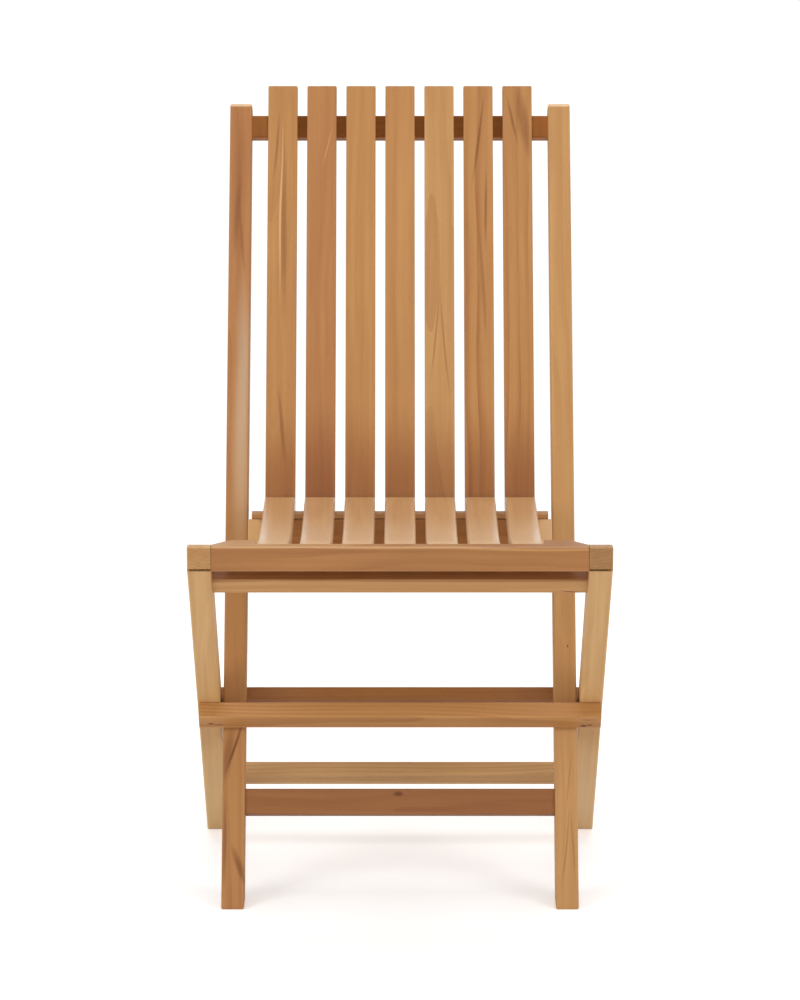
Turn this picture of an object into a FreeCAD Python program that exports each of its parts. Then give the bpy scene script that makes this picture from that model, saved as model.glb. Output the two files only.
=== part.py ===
import FreeCAD, Part
import os
import re
import Sketcher
from FreeCAD import Placement, Rotation, Vector

# Folding slatted chair in square teak stock, in millimetres.
#
# The back frame stands on the front feet: two posts that lean back, with two rails, seven back slats
# and a low stretcher between them. The rear legs run outside the posts and turn on two bolts at the
# crossing. The seat is hinged on the tops of the rear legs, and its rear batten rests on the lower
# back rail. Folding lifts the batten up along the back while the rear legs swing in.
#
# +Z is up, the chair faces -Y, and the origin is on the floor under the middle of the whole chair.

doc = FreeCAD.newDocument("FoldingChair")
sheet = doc.addObject("Spreadsheet::Sheet", "Sizes")

# Driving sizes. Leans are in degrees from upright. Rails and bars are placed by their middles.
DRIVING = {
    "overall_width": 457,
    "side_gap": 3,
    "stock_width": 25.5,
    "post_depth": 31,
    "leg_depth": 32,
    "post_lean": 27,
    "leg_lean": 41,
    "post_length": 942,
    "crossing_height": 201,
    "edge_round": 2,
    "arris": 1.2,
    "foot_chamfer": 1.5,
    "post_top_round": 7,
    # Back
    "rail_thickness": 16,
    "lower_rail_height": 40,
    "top_rail_height": 27,
    "top_rail_below_post_top": 24.8,
    "slat_count": 7,
    "slat_edge_gap": 19.25,
    "slat_width": 34.5,
    "slat_thickness": 13.5,
    "slat_round": 1.8,
    "slat_tilt": 1.7,
    "slat_above_top_rail": 46,
    "back_slat_foot": 17,
    "front_stretcher_height": 29,
    "front_stretcher_thickness": 18,
    "front_stretcher_below_crossing": 111,
    "front_stretcher_recess": 3,
    # Bars of the rear legs
    "leg_bar_height": 24,
    "front_bar_thickness": 20,
    "front_bar_end_inset": 2,
    "rear_bar_thickness": 16,
    "rear_stretcher_thickness": 18,
    "rear_stretcher_below_crossing": 191,
    "leg_top_rail_height": 25,
    "leg_top_rail_thickness": 16,
    "leg_top_rail_below_top": 24.8,
    "leg_top_rail_recess": 4,
    "bar_gap": 0.4,
    "leg_tip_cut": 6,
    # Tenons on the ends of rails
    "tenon_length": 12,
    "tenon_end_gap": 0.5,
    "tenon_shoulder": 4,
    # Crossing bolts
    "bolt_radius": 3,
    "bolt_running_gap": 0.05,
    "bolt_head_radius": 7,
    "bolt_head_thickness": 3,
    "bolt_head_recess": 0.6,
    "bolt_end_recess": 1.5,
    "counterbore_gap": 0.5,
    "socket_radius": 2.9,
    "socket_depth": 2,
    "nut_radius": 6,
    "nut_length": 9,
    "spacer_radius": 9,
    "spacer_end_gap": 0.2,
    # Seat
    "seat_height": 443,
    "board_depth": 32,
    "board_height": 27,
    "board_front_round": 5,
    "block_height": 25,
    "block_depth": 30,
    "block_round": 1.5,
    "block_rear_round": 21,
    "board_corner_cut": 19,
    "tenon_inset": 3,
    "tenon_height": 10,
    "tenon_above_board_foot": 9,
    "seat_radius": 672,
    "seat_lowest_from_front": 185,
    "seat_slat_thickness": 16,
    "seat_back_gap": 4.5,
    "slat_inset": 14.5,
    "slat_step": 0.5,
    "slat_lap": 14,
    "slat_lap_gap": 0.15,
    "batten_front_inset": 1,
    "batten_front_height": 5.8,
    "batten_back_gap": 0.8,
    "batten_end_gap": 4.5,
    "rest_gap": 0.3,
    # Butt hinges
    "hinge_width": 20,
    "hinge_leaf_depth": 24,
    "hinge_leaf_thickness": 1,
    "hinge_knuckle_radius": 1.3,
    "hinge_end_knuckle": 5,
    "hinge_pin_radius": 0.6,
    "hinge_running_gap": 0.05,
    "hinge_side_gap": 0.2,
    "hinge_swing_gap": 0.4,
    "hinge_inset": 1.4,
    "hinge_joint_gap": 0.4,
}

# Sizes that follow. A run is a depth and a rise is a height, both counted from the crossing.
DERIVED = {
    "leg_inner_width": "overall_width - 2 * stock_width",
    "post_frame_width": "leg_inner_width - 2 * side_gap",
    "post_inner_width": "post_frame_width - 2 * stock_width",
    "slat_pitch": "(post_inner_width - 2 * slat_edge_gap - slat_width) / (slat_count - 1)",
    "foot_reach": "crossing_height / cos(post_lean)",
    "slat_lean": "post_lean - slat_tilt",
    "leg_top": "seat_height - block_height - hinge_joint_gap / 2",
    "leg_top_rise": "leg_top - crossing_height",
    "seat_front_run": "-leg_top_rise * tan(leg_lean) - leg_depth / 2 / cos(leg_lean)",
    "post_rear_run": "(post_length - foot_reach - post_top_round) * sin(post_lean)"
    " + (post_depth / 2 - post_top_round) * cos(post_lean) + post_top_round",
    "crossing_y": "-(seat_front_run + post_rear_run) / 2",
    "seat_front_y": "crossing_y + seat_front_run",
    "board_rear_y": "seat_front_y + board_depth",
    "board_foot": "seat_height - board_height",
    "slat_front_y": "seat_front_y + slat_inset",
    "slat_lap_height": "seat_height - slat_lap",
    "slat_curve_run": "seat_lowest_from_front - slat_inset",
    "seat_drop": "slat_step + seat_radius - sqrt(seat_radius ^ 2 - slat_curve_run ^ 2)",
    "seat_lowest": "seat_height - seat_drop",
    "seat_lowest_y": "seat_front_y + seat_lowest_from_front",
    "seat_arc_height": "seat_lowest + seat_radius",
    "seat_under": "seat_lowest - seat_slat_thickness",
    "seat_under_radius": "seat_radius + seat_slat_thickness",
    "slat_front": "rail_thickness - post_depth / 2",
    "slat_rear": "slat_front + slat_thickness",
    "rail_rest_rise": "(lower_rail_height / 2 + rest_gap) / cos(slat_lean)",
    "batten_front_foot": "seat_under - batten_front_height",
    "batten_front_run": "lower_rail_height / 2 * sin(slat_lean) - post_depth / 2 * cos(slat_lean)"
    " + batten_front_inset",
    "lower_rail_z": "batten_front_foot - rail_rest_rise + batten_front_run * tan(slat_lean)",
    "lower_rail_at": "(lower_rail_z - crossing_height) / cos(post_lean)",
    "lower_rail_y": "crossing_y + lower_rail_at * sin(post_lean)",
    "batten_rear_run": "lower_rail_height / 2 * sin(slat_lean) + slat_front * cos(slat_lean)"
    " - batten_back_gap",
    "batten_rear_foot": "lower_rail_z + rail_rest_rise - batten_rear_run * tan(slat_lean)",
    "slat_front_at_seat": "slat_front / cos(slat_lean) + (seat_under - lower_rail_z) * tan(slat_lean)",
    "slat_end_y": "lower_rail_y + slat_front_at_seat - seat_back_gap",
    "post_top_in_back": "(post_length - foot_reach - lower_rail_at) * cos(slat_tilt)",
    "top_rail_above_lower_rail": "post_top_in_back - top_rail_below_post_top",
    "back_slat_top": "top_rail_above_lower_rail + slat_above_top_rail",
    "leg_top_rail_above_crossing": "leg_top_rise / cos(leg_lean) - leg_top_rail_below_top",
    "crossing_angle": "post_lean + leg_lean",
    "bar_corner_loss": "edge_round * (sin(crossing_angle) + cos(crossing_angle) - 1)",
    "bar_clearance": "post_depth / 2 - leg_depth / 2 * cos(crossing_angle) + bar_gap - bar_corner_loss",
    "bar_from_crossing": "bar_clearance / sin(crossing_angle) + leg_bar_height / 2",
    "hinge_y": "seat_front_y + hinge_inset",
    "hinge_run": "seat_front_run + hinge_inset",
    "hinge_height": "leg_top + hinge_joint_gap / 2",
    "hinge_rise": "hinge_height - crossing_height",
    "block_foot": "leg_top + hinge_joint_gap",
    "block_cove_radius": "hinge_knuckle_radius + hinge_swing_gap",
    "leg_cove_radius": "block_cove_radius + hinge_swing_gap",
}

ALONG_X = Vector(1, 0, 0)
ALONG_Y = Vector(0, 1, 0)
ALONG_Z = Vector(0, 0, 1)


def fill_sheet():
    """Write every size into the sheet under its name, the ones that follow as formulas."""
    contents = {name: str(value) for name, value in DRIVING.items()}
    contents.update({name: f"={formula}" for name, formula in DERIVED.items()})
    for row, (name, content) in enumerate(contents.items(), 1):
        sheet.set(f"A{row}", name)
        sheet.set(f"B{row}", content)
        sheet.setAlias(f"B{row}", name)
    doc.recompute()


def with_cells(formula):
    """The formula with each size's name pointing at its cell."""
    return re.sub(r"[a-z_]+", lambda word: cell_name(word.group()), formula)


def cell_name(word):
    return f"Sizes.{word}" if word in DRIVING or word in DERIVED else word


def size(formula):
    """The present value of a formula of sizes."""
    value = sheet.evalExpression(with_cells(formula))
    return float(getattr(value, "Value", value))


def bind(item, path, formula):
    item.setExpression(path, with_cells(formula))


def place(item, x, y, z, turn=None, axis=ALONG_X):
    """Set an object's place from formulas, after an optional turn about one axis."""
    if turn is not None:
        item.Placement = Placement(Vector(0, 0, 0), Rotation(axis, size(turn)))
    for letter, formula in zip("xyz", (x, y, z)):
        bind(item, f"Placement.Base.{letter}", formula)


def place_at_crossing(item, x="0", turn=None, axis=ALONG_X):
    place(item, x, "crossing_y", "crossing_height", turn, axis)


def place_in_back(item, x="0"):
    """Place a piece of the back by the lower rail's middle, leaning as the slats do."""
    place(item, x, "lower_rail_y", "lower_rail_z", "-slat_lean")


def new_body(name):
    body = doc.addObject("PartDesign::Body", name)
    body.Label = name
    return body


def origin_item(body, role):
    return next(item for item in body.Origin.OriginFeatures if item.Role == role)


def new_sketch(body, name, offset=None):
    """A sketch on the body's YZ plane: across is depth and up is height."""
    sketch = body.newObject("Sketcher::SketchObject", name)
    sketch.AttachmentSupport = (origin_item(body, "YZ_Plane"), [""])
    sketch.MapMode = "FlatFace"
    if offset:
        bind(sketch, "AttachmentOffset.Base.z", offset)
    return sketch


def fix(sketch, kind, elements, formula):
    """Add one dimension to a sketch and tie it to a formula of sizes."""
    index = sketch.addConstraint(Sketcher.Constraint(kind, *elements, size(formula)))
    sketch.setExpression(f"Constraints[{index}]", with_cells(formula))


def polygon(sketch, points):
    """A closed outline through points whose two coordinates are formulas."""
    corners = [Vector(size(across), size(up), 0) for across, up in points]
    lines = [
        sketch.addGeometry(Part.LineSegment(start, end))
        for start, end in zip(corners, corners[1:] + corners[:1])
    ]
    for line, following in zip(lines, lines[1:] + lines[:1]):
        sketch.addConstraint(Sketcher.Constraint("Coincident", line, 2, following, 1))
    for line, (across, up) in zip(lines, points):
        fix(sketch, "DistanceX", (-1, 1, line, 1), across)
        fix(sketch, "DistanceY", (-1, 1, line, 1), up)


def rectangle(sketch, left, right, bottom, top):
    polygon(sketch, [(left, bottom), (right, bottom), (right, top), (left, top)])


def circle(sketch, across, up, radius):
    ring = sketch.addGeometry(Part.Circle(Vector(size(across), size(up), 0), ALONG_Z, size(radius)))
    fix(sketch, "Radius", (ring,), radius)
    fix(sketch, "DistanceX", (-1, 1, ring, 3), across)
    fix(sketch, "DistanceY", (-1, 1, ring, 3), up)


def pad(body, sketch, length):
    """Extrude a sketch to both sides of its plane."""
    feature = body.newObject("PartDesign::Pad", f"{sketch.Name}_pad")
    feature.Profile = sketch
    feature.SideType = "Symmetric"
    bind(feature, "Length", length)
    doc.recompute()
    return feature


def pocket(body, sketch, length, towards=None):
    """Cut a sketch into the body, to both sides or towards +X (1) or -X (-1), and see that it cuts."""
    before = body.Shape.Volume
    feature = body.newObject("PartDesign::Pocket", f"{sketch.Name}_pocket")
    feature.Profile = sketch
    feature.SideType = "One side" if towards else "Symmetric"
    feature.Reversed = towards == 1
    bind(feature, "Length", length)
    doc.recompute()
    if body.Shape.Volume >= before:
        raise RuntimeError(f"{feature.Name} cuts nothing")
    return feature


def edges_along(feature, direction, wanted=lambda middle: True):
    """Names of straight edges along a direction whose middle is wanted."""
    names = []
    for number, edge in enumerate(feature.Shape.Edges, 1):
        along = edge.Vertexes[-1].Point - edge.Vertexes[0].Point
        straight = isinstance(edge.Curve, (Part.Line, Part.LineSegment))
        if straight and along.cross(direction).Length < 1e-6 * along.Length and wanted(edge.CenterOfMass):
            names.append(f"Edge{number}")
    return names


def edges_below(feature, height):
    """Names of the edges whose middle is below a height."""
    level = size(height)
    edges = enumerate(feature.Shape.Edges, 1)
    return [f"Edge{number}" for number, edge in edges if edge.CenterOfMass.z < level]


def round_edges(body, feature, names, radius):
    fillet = body.newObject("PartDesign::Fillet", f"{feature.Name}_round")
    fillet.Base = (feature, names)
    bind(fillet, "Radius", radius)
    doc.recompute()
    return fillet


def chamfer_edges(body, feature, names, setback):
    chamfer = body.newObject("PartDesign::Chamfer", f"{feature.Name}_chamfer")
    chamfer.Base = (feature, names)
    bind(chamfer, "Size", setback)
    doc.recompute()
    return chamfer


# Cross sections of the rails and bars: front, rear, bottom and top in the frame each one is built in.
LOWER_RAIL = ("-post_depth / 2", "slat_front", "-lower_rail_height / 2", "lower_rail_height / 2")
TOP_RAIL = (
    "slat_rear",
    "slat_rear + rail_thickness",
    "top_rail_above_lower_rail - top_rail_height / 2",
    "top_rail_above_lower_rail + top_rail_height / 2",
)
FRONT_STRETCHER = (
    "front_stretcher_recess - post_depth / 2",
    "front_stretcher_recess + front_stretcher_thickness - post_depth / 2",
    "-front_stretcher_below_crossing - front_stretcher_height / 2",
    "-front_stretcher_below_crossing + front_stretcher_height / 2",
)
LEG_TOP_RAIL = (
    "leg_top_rail_recess - leg_depth / 2",
    "leg_top_rail_recess + leg_top_rail_thickness - leg_depth / 2",
    "leg_top_rail_above_crossing - leg_top_rail_height / 2",
    "leg_top_rail_above_crossing + leg_top_rail_height / 2",
)
MIDDLE_FRONT_BAR = (
    "-leg_depth / 2 - front_bar_thickness",
    "-leg_depth / 2",
    "bar_from_crossing - leg_bar_height / 2",
    "bar_from_crossing + leg_bar_height / 2",
)
MIDDLE_REAR_BAR = (
    "leg_depth / 2",
    "leg_depth / 2 + rear_bar_thickness",
    "-bar_from_crossing - leg_bar_height / 2",
    "-bar_from_crossing + leg_bar_height / 2",
)
REAR_STRETCHER = (
    "leg_depth / 2",
    "leg_depth / 2 + rear_stretcher_thickness",
    "-rear_stretcher_below_crossing - leg_bar_height / 2",
    "-rear_stretcher_below_crossing + leg_bar_height / 2",
)


def tenon_corners(bar):
    """Corners of the tenon on a bar's end, inside a shoulder all round."""
    front, rear, bottom, top = bar
    near, far = f"{front} + tenon_shoulder", f"{rear} - tenon_shoulder"
    low, high = f"{bottom} + tenon_shoulder", f"{top} - tenon_shoulder"
    return [(near, low), (far, low), (far, high), (near, high)]


def cross_bar(name, bar, length, has_tenons):
    """A bar along X with eased long edges, and tenons on its ends where it is let in."""
    body = new_body(name)
    section = new_sketch(body, f"{name}_section")
    rectangle(section, *bar)
    stick = pad(body, section, length)
    round_edges(body, stick, edges_along(stick, ALONG_X), "edge_round")
    if has_tenons:
        tenons = new_sketch(body, f"{name}_tenons")
        polygon(tenons, tenon_corners(bar))
        pad(body, tenons, f"{length} + 2 * tenon_length")
    return body


def in_post_frame(point):
    """A point of the slats' frame, in the frame of the post, which leans back a little more."""
    across, up = point
    return (
        f"({across}) * cos(slat_tilt) - ({up}) * sin(slat_tilt)",
        f"lower_rail_at + ({across}) * sin(slat_tilt) + ({up}) * cos(slat_tilt)",
    )


def in_leg_frame(run, rise):
    """A point counted from the crossing, in the frame of the rear leg."""
    return (
        f"({run}) * cos(leg_lean) + ({rise}) * sin(leg_lean)",
        f"({rise}) * cos(leg_lean) - ({run}) * sin(leg_lean)",
    )


def cut_mortises(body, name, side, outlines):
    """Blind mortises from the inner face, one for each outline."""
    mortises = new_sketch(body, f"{name}_mortises", f"{-side} * stock_width / 2")
    for outline in outlines:
        polygon(mortises, outline)
    pocket(body, mortises, "tenon_length + tenon_end_gap", side)


def bore_at_crossing(body, name, radius, length, offset=None, towards=None):
    bore = new_sketch(body, name, offset)
    circle(bore, "0", "0", radius)
    pocket(body, bore, length, towards)


def post(name, side):
    """A post: cut level at the foot, rounded at the top, bored for the rails, the bolt and its nut."""
    body = new_body(name)
    outline = new_sketch(body, f"{name}_outline")
    top = "post_length - foot_reach"
    polygon(
        outline,
        [
            ("-post_depth / 2", "-foot_reach - post_depth / 2 * tan(post_lean)"),
            ("post_depth / 2", "-foot_reach + post_depth / 2 * tan(post_lean)"),
            ("post_depth / 2", top),
            ("-post_depth / 2", top),
        ],
    )
    stick = pad(body, outline, "stock_width")
    footed = chamfer_edges(body, stick, edges_below(stick, "-crossing_height"), "foot_chamfer")
    top_edges = edges_along(footed, ALONG_X, lambda middle: middle.z > 0)
    topped = round_edges(body, footed, top_edges, "post_top_round")
    chamfer_edges(body, topped, edges_along(topped, ALONG_Z), "arris")
    rails = [[in_post_frame(corner) for corner in tenon_corners(rail)] for rail in (LOWER_RAIL, TOP_RAIL)]
    cut_mortises(body, name, side, rails + [tenon_corners(FRONT_STRETCHER)])
    bore_at_crossing(body, f"{name}_bolt_hole", "bolt_radius", "2 * stock_width")
    inner_face = f"{-side} * stock_width / 2"
    bore_at_crossing(body, f"{name}_nut_seat", "nut_radius", "nut_length", inner_face, side)
    place_at_crossing(body, f"{side} * (post_frame_width - stock_width) / 2", "-post_lean")
    return body


def rear_leg(name, side):
    """A rear leg: level at the foot and at the top, coved and recessed there for its hinge."""
    body = new_body(name)
    outline = new_sketch(body, f"{name}_outline")
    tip_height = "(leg_top_rise - leg_tip_cut - leg_depth / 2 * sin(leg_lean)) / cos(leg_lean)"
    polygon(
        outline,
        [
            ("-leg_depth / 2", "(leg_depth / 2 * sin(leg_lean) - crossing_height) / cos(leg_lean)"),
            ("leg_depth / 2", "(-leg_depth / 2 * sin(leg_lean) - crossing_height) / cos(leg_lean)"),
            ("leg_depth / 2", tip_height),
            in_leg_frame("seat_front_run + block_depth", "leg_top_rise"),
            in_leg_frame("seat_front_run", "leg_top_rise"),
        ],
    )
    stick = pad(body, outline, "stock_width")
    footed = chamfer_edges(body, stick, edges_below(stick, "-crossing_height"), "foot_chamfer")
    round_edges(body, footed, edges_along(footed, ALONG_Z), "edge_round")
    cut_mortises(body, name, side, [tenon_corners(LEG_TOP_RAIL)])
    bore_at_crossing(body, f"{name}_bolt_hole", "bolt_radius + bolt_running_gap", "2 * stock_width")
    head_radius = "bolt_head_radius + counterbore_gap"
    head_depth = "bolt_head_recess + bolt_head_thickness + counterbore_gap"
    outer_face = f"{side} * stock_width / 2"
    bore_at_crossing(body, f"{name}_head_seat", head_radius, head_depth, outer_face, -side)
    leaf_seat = new_sketch(body, f"{name}_leaf_seat")
    leaf_end = "hinge_run + hinge_leaf_depth + hinge_side_gap"
    floor = "leg_top_rise - hinge_leaf_thickness"
    corners = [("hinge_run", floor), (leaf_end, floor), (leaf_end, "hinge_rise"), ("hinge_run", "hinge_rise")]
    polygon(leaf_seat, [in_leg_frame(run, rise) for run, rise in corners])
    pocket(body, leaf_seat, "hinge_width + 2 * hinge_side_gap")
    cove = new_sketch(body, f"{name}_cove")
    circle(cove, *in_leg_frame("hinge_run", "hinge_rise"), "leg_cove_radius")
    pocket(body, cove, "2 * stock_width")
    place_at_crossing(body, f"{side} * (overall_width - stock_width) / 2", "leg_lean")
    return body


def slat_x(number):
    return f"({number} - (slat_count + 1) / 2) * slat_pitch"


def back_slat(name, number):
    """A straight back slat with softened long edges."""
    body = new_body(name)
    outline = new_sketch(body, f"{name}_side")
    rectangle(outline, "slat_front", "slat_rear", "-back_slat_foot", "back_slat_top")
    board = pad(body, outline, "slat_width")
    top_edges = edges_along(board, ALONG_X, lambda middle: middle.z > 0)
    top_edges += edges_along(board, ALONG_Y, lambda middle: middle.z > 0)
    topped = chamfer_edges(body, board, top_edges, "arris")
    round_edges(body, topped, edges_along(topped, ALONG_Z), "slat_round")
    place_in_back(body, slat_x(number))
    return body


def hollow_arc(sketch, radius, front, rear):
    """An arc about the seat's centre of curve, from a front to a rear depth, with its two ends."""
    centre = Vector(size("seat_lowest_y"), size("seat_arc_height"), 0)
    ring = Part.Circle(centre, ALONG_Z, size(radius))
    ends = []
    for depth in (size(front), size(rear)):
        drop = (ring.Radius**2 - (depth - centre.x) ** 2) ** 0.5
        ends.append(Vector(depth, centre.y - drop, 0))
    arc = sketch.addGeometry(Part.ArcOfCircle(ring, *[ring.parameter(end) for end in ends]))
    fix(sketch, "Radius", (arc,), radius)
    return arc, ends[0], ends[1]


def seat_slat(name, number):
    """A seat slat: hollow at the front and level behind, lapped on the seat board at its front."""
    body = new_body(name)
    side = new_sketch(body, f"{name}_side")
    shoulder = "board_rear_y + slat_lap_gap"
    top, top_front, top_low = hollow_arc(side, "seat_radius", "slat_front_y", "seat_lowest_y")
    under, under_front, under_low = hollow_arc(side, "seat_under_radius", shoulder, "seat_lowest_y")
    top_rear = Vector(size("slat_end_y"), top_low.y, 0)
    under_rear = Vector(top_rear.x, under_low.y, 0)
    lap_rear = Vector(under_front.x, size("slat_lap_height"), 0)
    lap_front = Vector(top_front.x, lap_rear.y, 0)
    level_top, end, level_under, step, lap, nose = [
        side.addGeometry(Part.LineSegment(start, finish))
        for start, finish in (
            (top_low, top_rear),
            (top_rear, under_rear),
            (under_rear, under_low),
            (under_front, lap_rear),
            (lap_rear, lap_front),
            (lap_front, top_front),
        )
    ]
    meetings = [(top, 2, level_top, 1), (level_top, 2, end, 1), (end, 2, level_under, 1)]
    meetings += [(level_under, 2, under, 2), (under, 1, step, 1), (step, 2, lap, 1)]
    meetings += [(lap, 2, nose, 1), (nose, 2, top, 1), (top, 3, under, 3)]
    for meeting in meetings:
        side.addConstraint(Sketcher.Constraint("Coincident", *meeting))
    for upright in (end, step, nose):
        side.addConstraint(Sketcher.Constraint("Vertical", upright))
    for level in (level_top, level_under, lap):
        side.addConstraint(Sketcher.Constraint("Horizontal", level))
    fix(side, "DistanceX", (-1, 1, top, 3), "seat_lowest_y")
    fix(side, "DistanceY", (-1, 1, top, 3), "seat_arc_height")
    fix(side, "DistanceX", (-1, 1, level_top, 1), "seat_lowest_y")
    fix(side, "DistanceX", (-1, 1, level_under, 2), "seat_lowest_y")
    fix(side, "DistanceX", (-1, 1, end, 1), "slat_end_y")
    fix(side, "DistanceX", (-1, 1, step, 2), shoulder)
    fix(side, "DistanceX", (-1, 1, nose, 1), "slat_front_y")
    fix(side, "DistanceY", (-1, 1, lap, 1), "slat_lap_height")
    plank = pad(body, side, "slat_width")
    top_edges = edges_along(plank, ALONG_Y, lambda middle: middle.z > top_rear.y - 1)
    top_edges += edges_along(
        plank,
        ALONG_X,
        lambda middle: middle.y > top_rear.x - 1 and middle.z > top_rear.y - 1,
    )
    chamfer_edges(body, plank, top_edges, "arris")
    place(body, slat_x(number), "0", "0")
    return body


def seat_board(name):
    """The board across the seat's front, rabbeted for the slats and tenoned into the end blocks."""
    body = new_body(name)
    length = "leg_inner_width - 2 * hinge_joint_gap"
    section = new_sketch(body, f"{name}_section")
    rectangle(section, "seat_front_y", "board_rear_y", "board_foot", "seat_height")
    plank = pad(body, section, length)
    front, rear, top = size("seat_front_y"), size("board_rear_y"), size("seat_height")
    rear_corners = edges_along(plank, ALONG_Z, lambda middle: middle.y > rear - 1)
    corners = chamfer_edges(body, plank, rear_corners, "board_corner_cut")
    nose = edges_along(corners, ALONG_X, lambda middle: middle.y < front + 1 and middle.z > top - 1)
    nosed = round_edges(body, corners, nose, "board_front_round")
    others = edges_along(
        nosed,
        ALONG_X,
        lambda middle: middle.z < size("board_foot") + 1 or middle.y > rear - 1,
    )
    for diagonal in (Vector(1, 1, 0), Vector(1, -1, 0)):
        others += edges_along(nosed, diagonal)
    round_edges(body, nosed, others, "block_round")
    tenon = new_sketch(body, f"{name}_tenon")
    rectangle(tenon, *TENON)
    pad(body, tenon, f"{length} + 2 * tenon_length")
    rabbet = new_sketch(body, f"{name}_rabbet")
    rabbet_front = "slat_front_y - slat_lap_gap"
    rectangle(rabbet, rabbet_front, "board_rear_y + slat_lap", "slat_lap_height", "seat_height + slat_lap")
    pocket(body, rabbet, "(slat_count - 1) * slat_pitch + slat_width + 2 * slat_lap_gap")
    return body


TENON = (
    "seat_front_y + tenon_inset",
    "board_rear_y - board_corner_cut - tenon_inset",
    "board_foot + tenon_above_board_foot",
    "board_foot + tenon_above_board_foot + tenon_height",
)


def corner_block(name, side):
    """An end block of the seat board, on top of a rear leg: mortised, coved and recessed for its hinge."""
    body = new_body(name)
    section = new_sketch(body, f"{name}_section")
    rectangle(section, "seat_front_y", "seat_front_y + block_depth", "block_foot", "seat_height")
    stick = pad(body, section, "stock_width")
    foot = size("block_foot")
    front = size("seat_front_y")
    outer = size("stock_width") / 2
    rear_edge = edges_along(stick, ALONG_X, lambda middle: middle.z > foot + 1 and middle.y > front + 1)
    block = round_edges(body, stick, rear_edge, "block_rear_round")
    eased = edges_along(block, ALONG_X, lambda middle: middle.z > foot + 1 and middle.y < front + 1)
    for direction in (ALONG_Y, ALONG_Z):
        eased += edges_along(
            block,
            direction,
            lambda middle: middle.z > foot + 1 and middle.x * side > 1 - outer,
        )
    chamfer_edges(body, block, eased, "arris")
    mortise = new_sketch(body, f"{name}_mortise", f"{-side} * stock_width / 2")
    rectangle(mortise, *TENON)
    pocket(body, mortise, "tenon_length + tenon_end_gap", side)
    leaf_seat = new_sketch(body, f"{name}_leaf_seat")
    leaf_end = "hinge_y + hinge_leaf_depth + hinge_side_gap"
    rectangle(leaf_seat, "hinge_y", leaf_end, "hinge_height", "block_foot + hinge_leaf_thickness")
    pocket(body, leaf_seat, "hinge_width + 2 * hinge_side_gap")
    cove = new_sketch(body, f"{name}_cove")
    circle(cove, "hinge_y", "hinge_height", "block_cove_radius")
    pocket(body, cove, "2 * stock_width")
    place(body, f"{side} * (overall_width - stock_width) / 2", "0", "0")
    return body


def seat_batten(name):
    """The batten under the slats' rear ends, bevelled below to rest on the lower rail's sloping top."""
    body = new_body(name)
    section = new_sketch(body, f"{name}_section")
    front = "lower_rail_y + batten_front_run"
    rear = "lower_rail_y + batten_rear_run"
    polygon(
        section,
        [
            (front, "batten_front_foot"),
            (rear, "batten_rear_foot"),
            (rear, "seat_under"),
            (front, "seat_under"),
        ],
    )
    stick = pad(body, section, "post_inner_width - 2 * batten_end_gap")
    front_y = size(front)
    round_edges(body, stick, edges_along(stick, ALONG_X, lambda middle: middle.y < front_y + 1), "slat_round")
    return body


def block_solid(name, x, y, z, length, width, height):
    box = doc.addObject("Part::Box", name)
    for path, formula in zip(("Length", "Width", "Height"), (length, width, height)):
        bind(box, path, formula)
    place(box, x, y, z)
    return box


def rod(name, start, length, radius):
    """A round bar along +X from a start."""
    bar = doc.addObject("Part::Cylinder", name)
    bind(bar, "Radius", radius)
    bind(bar, "Height", length)
    place(bar, start, "0", "0", "90", ALONG_Y)
    return bar


def fused(name, shapes):
    whole = doc.addObject("Part::MultiFuse", name)
    whole.Shapes = shapes
    whole.Refine = True
    return whole


def without(name, base, tool):
    rest = doc.addObject("Part::Cut", name)
    rest.Base = base
    rest.Tool = tool
    return rest


def hinge_leaf(name, side, is_upper):
    """Half a butt hinge, about its pin's middle: the upper has the middle knuckle, the lower the ends."""
    half = "hinge_width / 2"
    inner = "(hinge_width / 2 - hinge_end_knuckle)"
    clear_radius = "hinge_knuckle_radius + hinge_swing_gap"
    middle_start = f"-{inner} + hinge_side_gap"
    middle_length = f"2 * {inner} - 2 * hinge_side_gap"
    end_start = f"{inner} - hinge_side_gap"
    end_length = "hinge_end_knuckle + hinge_side_gap"
    leaf_foot = "hinge_joint_gap / 2" if is_upper else "-hinge_joint_gap / 2 - hinge_leaf_thickness"
    leaf_size = ("hinge_width", "hinge_leaf_depth", "hinge_leaf_thickness")
    leaf = block_solid(f"{name}_leaf", f"-{half}", "0", leaf_foot, *leaf_size)
    if is_upper:
        spaces = [
            rod(f"{name}_space_1", f"-{half}", end_length, clear_radius),
            rod(f"{name}_space_2", end_start, end_length, clear_radius),
        ]
        space = fused(f"{name}_spaces", spaces)
        knuckles = [rod(f"{name}_knuckle", middle_start, middle_length, "hinge_knuckle_radius")]
        bore_radius = "hinge_pin_radius + hinge_running_gap"
    else:
        space = rod(f"{name}_space", f"-{inner}", f"2 * {inner}", clear_radius)
        knuckles = [
            rod(f"{name}_knuckle_1", f"-{half}", "hinge_end_knuckle", "hinge_knuckle_radius"),
            rod(f"{name}_knuckle_2", inner, "hinge_end_knuckle", "hinge_knuckle_radius"),
        ]
        bore_radius = "hinge_pin_radius"
    whole = fused(f"{name}_whole", [without(f"{name}_cleared", leaf, space)] + knuckles)
    bore = rod(f"{name}_bore", f"-{half}", "hinge_width", bore_radius)
    hinge = without(name, whole, bore)
    place(hinge, f"{side} * (overall_width - stock_width) / 2", "hinge_y", "hinge_height")
    return hinge


def hinge_pin(name, side):
    pin = rod(name, "0", "hinge_width", "hinge_pin_radius")
    middle = f"{side} * (overall_width - stock_width) / 2"
    place(pin, f"{middle} - hinge_width / 2", "hinge_y", "hinge_height")
    return pin


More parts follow.
